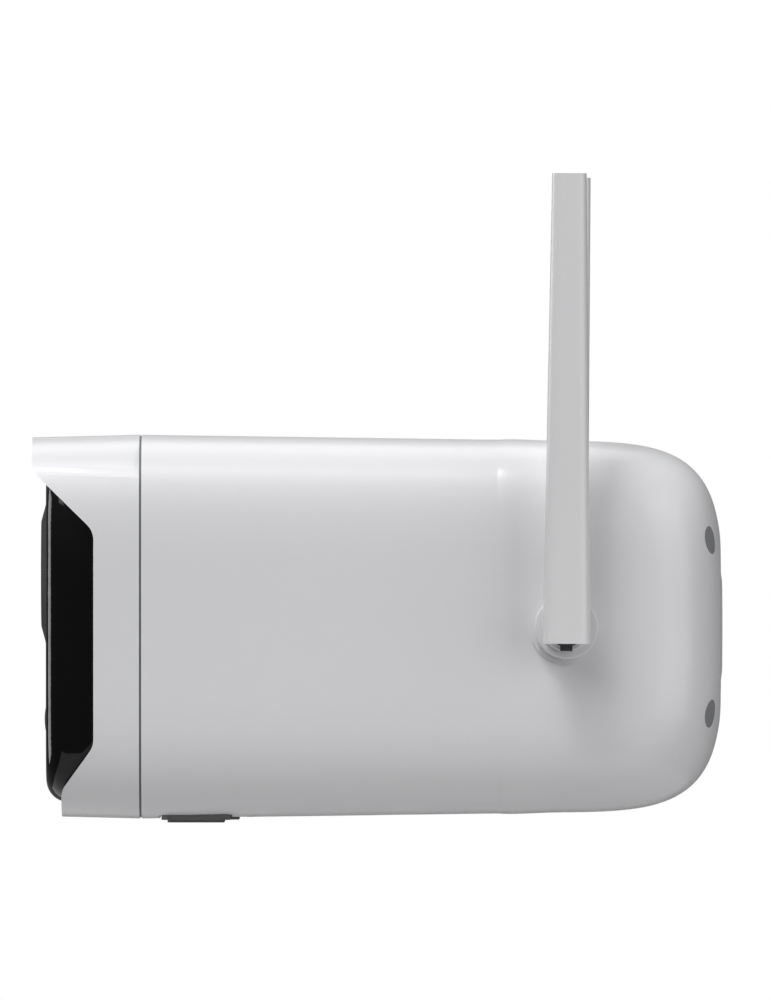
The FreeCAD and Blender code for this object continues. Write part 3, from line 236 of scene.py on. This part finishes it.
# %% [markdown]
# The front panel is black polycarbonate with a hard, mirror-like surface.  The lens surround is
# the same black with a satin texture, so it reads as a separate ring.

# %% Black front pieces
finishes.update({
    "panel_black": moulded("panel_gloss_black", (0.003, 0.003, 0.0035), 0.07, bump=0.0,
                           variation=0.03, drift=0.1, Coat_Weight=0.15, Coat_Roughness=0.03,
                           Specular_IOR_Level=0.3),
    "ring_black": moulded("ring_satin_black", (0.03, 0.03, 0.032), 0.36, grain_size=3200.0,
                          bump=0.12, drift=0.08),
    "motion_lens": moulded("motion_lens_smoke", (0.035, 0.035, 0.038), 0.3, bump=0.02,
                           Coat_Weight=0.3),
    "smoked_lens": moulded("infrared_pass", (0.018, 0.006, 0.007), 0.08, bump=0.0,
                           Coat_Weight=0.5),
    "barrel_black": moulded("barrel_matt_black", (0.012, 0.012, 0.012), 0.5, bump=0.1),
    "chassis_black": moulded("filled_nylon", (0.03, 0.03, 0.032), 0.55, grain_size=1500.0,
                             bump=0.2, variation=0.12),
    "speaker_black": moulded("speaker_cone", (0.022, 0.022, 0.022), 0.7, grain_size=900.0,
                             bump=0.3),
    "chip": moulded("chip_epoxy", (0.02, 0.02, 0.022), 0.5, bump=0.15),
})

# %% Rubber, buttons and the hinge knuckle
finishes.update({
    "seal_grey": moulded("seal_rubber", (0.155, 0.16, 0.17), 0.6, grain_size=1800.0, bump=0.1,
                         variation=0.1),
    "plug_grey": moulded("plug_rubber", (0.25, 0.253, 0.26), 0.62, grain_size=1800.0,
                         bump=0.12, variation=0.1),
    "cover_grey": moulded("cover_silicone", (0.15, 0.15, 0.155), 0.58, grain_size=1800.0,
                          bump=0.15, variation=0.1, dust=0.02),
    "black_rubber": moulded("black_rubber", (0.015, 0.015, 0.015), 0.6, bump=0.1),
    # The hinge knuckle is dark grey as painted shade: its colour stands in for the shadow in the
    # slot under the paddle.
    "knuckle_grey": moulded("knuckle_painted_shade", (0.07, 0.07, 0.075), 0.45, bump=0.15),
    "button_grey": moulded("button_satin", (0.25, 0.25, 0.255), 0.42, bump=0.08),
    "cell_wrap": moulded("cell_shrink_wrap", (0.03, 0.17, 0.42), 0.28, grain_size=500.0,
                         bump=0.08, Coat_Weight=0.3),
    "led_yellow": moulded("phosphor", (0.82, 0.66, 0.16), 0.5, bump=0.1),
    "pcb": moulded("green_solder_mask", (0.012, 0.12, 0.05), 0.32, grain_size=700.0, bump=0.12,
                   drift=0.15, Coat_Weight=0.2),
    "black_pcb": moulded("black_solder_mask", (0.012, 0.012, 0.013), 0.36, grain_size=700.0,
                         bump=0.12, drift=0.15),
})

# %% [markdown]
# Metal pieces are few: the brass mount insert, steel screws and pins, and tinned cans on the
# boards.  Turning and rolling leave fine lines, so their shine comes from stretched noise.

# %% Metals
def metal(name, color, roughness, along=60.0, across=2400.0, bump=0.05):
    """Bare metal: an even colour under fine lines that run one way."""
    material, tree, shader = new_finish(name)
    brushed = placed_group(tree, BRUSHING, Along=along, Across=across, Roughness=roughness,
                           Variation=0.15)
    tint = placed_group(tree, TINT_DRIFT, Drift=0.08, Dust=0.0)
    tint.inputs["Base"].default_value = (*color, 1.0)
    relief = add_node(tree, "ShaderNodeBump", Strength=bump, Distance=BRUSH_RELIEF_M)
    link = tree.links.new
    link(tint.outputs["Color"], shader.inputs["Base Color"])
    link(brushed.outputs["Roughness"], shader.inputs["Roughness"])
    link(brushed.outputs["Height"], relief.inputs["Height"])
    link(relief.outputs["Normal"], shader.inputs["Normal"])
    shader.inputs["Metallic"].default_value = 1.0
    return material


finishes.update({
    "steel": metal("plated_steel", (0.60, 0.60, 0.61), 0.22),
    "brass": metal("turned_brass", (0.72, 0.50, 0.22), 0.2, along=2400.0, across=90.0),
    "tin": metal("tinned_can", (0.68, 0.68, 0.67), 0.26),
    "copper": metal("copper_strip", (0.75, 0.38, 0.22), 0.25),
})

# %% [markdown]
# Glass and clear plastic keep a plain metallic and transmission value.  The lens glass has a
# coating, which is why it looks violet-blue at a slant.

# %% Glass and clear plastic
def clear(name, color, roughness, ior=1.49, coat=0.3, tint=(1.0, 1.0, 1.0, 1.0)):
    """Glass or clear plastic, lightly smeared, with a coating."""
    material, tree, shader = new_finish(name)
    smear = placed_group(tree, MOULD_GRAIN, Roughness=roughness, Variation=0.03)
    tree.links.new(smear.outputs["Roughness"], shader.inputs["Roughness"])
    shader.inputs["Base Color"].default_value = (*color, 1.0)
    shader.inputs["Transmission Weight"].default_value = 1.0
    shader.inputs["IOR"].default_value = ior
    shader.inputs["Coat Weight"].default_value = coat
    shader.inputs["Coat Tint"].default_value = tint
    return material


finishes.update({
    "lens_glass": clear("coated_glass", (0.75, 0.8, 0.95), 0.02, ior=1.52, coat=0.6,
                        tint=(0.75, 0.7, 1.0, 1.0)),
    "clear_plastic": clear("clear_lamp_plastic", (0.92, 0.93, 0.95), 0.06),
})
print(f"{len(finishes)} finishes made")

# %% Put every finish on its nodes
for name, piece in nodes.items():
    piece.material_slots[0].material = finishes[slot_of[name]]
print("nodes without a finish:", [name for name in nodes if slot_of[name] not in finishes])

# %% [markdown]
# ## Studio
# A long lens stands far away on the camera's left, level with the body, so that near and far
# edges line up almost as in a drawing.  The room is white, and its light falls mostly from above.

# %% Camera
low, high = (Vector(corner) for corner in cad_bounds)
centre = (low + high) / 2
FRAME_HEIGHT = 0.2312
LENS_MM = 1200.0
SENSOR_MM = 36.0
AIM_SHIFT = Vector((0.0, 0.0018, -0.0004))
SIGHT_LIMIT = 100.0

view = bpy.data.cameras.new("view")
view.lens = LENS_MM
view.sensor_width = SENSOR_MM
view.clip_end = SIGHT_LIMIT
camera = bpy.data.objects.new("view", view)
distance = FRAME_HEIGHT * LENS_MM / SENSOR_MM
camera.location = Vector((distance, centre.y, centre.z)) + AIM_SHIFT
camera.rotation_euler = (math.radians(90), 0, math.radians(90))
bpy.context.scene.collection.objects.link(camera)
bpy.context.scene.camera = camera
print(f"camera {distance:.2f} m away, aimed at y {camera.location.y:.4f}, z {camera.location.z:.4f}")

# %% [markdown]
# The floor lies well below the camera body, out of the main view.  From higher up it catches the
# shadow, and it sends a little light back to the underside.

# %% Floor
FLOOR_HALF = 0.15
FLOOR_DROP = 0.06
FLOOR_GREY = (0.60, 0.60, 0.60)


def pale_floor():
    mesh = bpy.data.meshes.new("floor")
    build = bmesh.new()
    bmesh.ops.create_grid(build, x_segments=1, y_segments=1, size=FLOOR_HALF)
    build.to_mesh(mesh)
    build.free()
    floor = bpy.data.objects.new("floor", mesh)
    floor.location = (centre.x, centre.y, low.z - FLOOR_DROP)
    bpy.context.scene.collection.objects.link(floor)
    floor.data.materials.append(moulded("floor_paint", FLOOR_GREY, 0.6, bump=0.0))


pale_floor()
print(f"floor {FLOOR_DROP * 1000:.0f} mm below the lowest piece")

# %% [markdown]
# The room looks white behind the object, but lights it only dimly, a little more from above than
# from the sides.

# %% Room light
ROOM_BELOW = (0.10, 0.10, 0.10, 1)
ROOM_LEVEL = (0.10, 0.10, 0.102, 1)
ROOM_ABOVE = (0.45, 0.45, 0.45, 1)
BACKDROP_WHITE = (1, 1, 1, 1)


def white_room():
    world = bpy.data.worlds.new("room")
    world.use_nodes = True
    bpy.context.scene.world = world
    tree = world.node_tree
    tree.nodes.clear()
    place = add_node(tree, "ShaderNodeTexCoord")
    axes = add_node(tree, "ShaderNodeSeparateXYZ")
    height = add_node(tree, "ShaderNodeMapRange", From_Min=-1.0, From_Max=1.0)
    ramp = add_node(tree, "ShaderNodeValToRGB")
    ramp.color_ramp.elements[0].color = ROOM_BELOW
    ramp.color_ramp.elements[1].color = ROOM_ABOVE
    middle = ramp.color_ramp.elements.new(0.5)
    middle.color = ROOM_LEVEL
    lighting = add_node(tree, "ShaderNodeBackground", Strength=1.0)
    backdrop = add_node(tree, "ShaderNodeBackground", Strength=1.0)
    backdrop.inputs["Color"].default_value = BACKDROP_WHITE
    rays = add_node(tree, "ShaderNodeLightPath")
    choose = add_node(tree, "ShaderNodeMixShader")
    result = add_node(tree, "ShaderNodeOutputWorld")
    link = tree.links.new
    link(place.outputs["Generated"], axes.inputs[0])
    link(axes.outputs["Z"], height.inputs["Value"])
    link(height.outputs["Result"], ramp.inputs["Fac"])
    link(ramp.outputs["Color"], lighting.inputs["Color"])
    link(rays.outputs["Is Camera Ray"], choose.inputs[0])
    link(lighting.outputs[0], choose.inputs[1])
    link(backdrop.outputs[0], choose.inputs[2])
    link(choose.outputs[0], result.inputs["Surface"])


white_room()
print("world:", bpy.context.scene.world.name)

# %% [markdown]
# A wide key lamp above the near side does most of the work, and a smaller one inside it sharpens
# the light along the shoulder.  Weak lamps reach the top, the hooded front and the rear corner.

# %% Lamps
def lamp(name, away, size_m, watts):
    """A soft square lamp at an offset from the object's centre, aimed at it."""
    light = bpy.data.lights.new(name, "AREA")
    light.shape = "RECTANGLE"
    light.size, light.size_y = size_m
    light.energy = watts
    piece = bpy.data.objects.new(name, light)
    piece.location = centre + Vector(away)
    piece.rotation_euler = (-Vector(away)).to_track_quat("-Z", "Y").to_euler()
    bpy.context.scene.collection.objects.link(piece)


lamp("key", (1.18, -0.70, 1.51), (1.6, 1.6), 17.5)
lamp("high", (0.75, -0.45, 1.6), (0.45, 0.45), 10.5)
lamp("top", (-0.9, -0.1, 1.35), (1.0, 1.0), 3.0)
lamp("front", (-0.7, -1.86, 0.0), (0.8, 1.2), 10.5)
lamp("rear", (1.0, 1.4, 0.35), (1.4, 1.4), 10.0)
lamp("glint", (1.82, 0.376, 0.417), (0.05, 0.05), 0.25)

print("lamps:", [light.name for light in bpy.data.lights])

bpy.context.scene.view_settings.view_transform = "Standard"
bpy.context.scene.view_settings.look = "None"
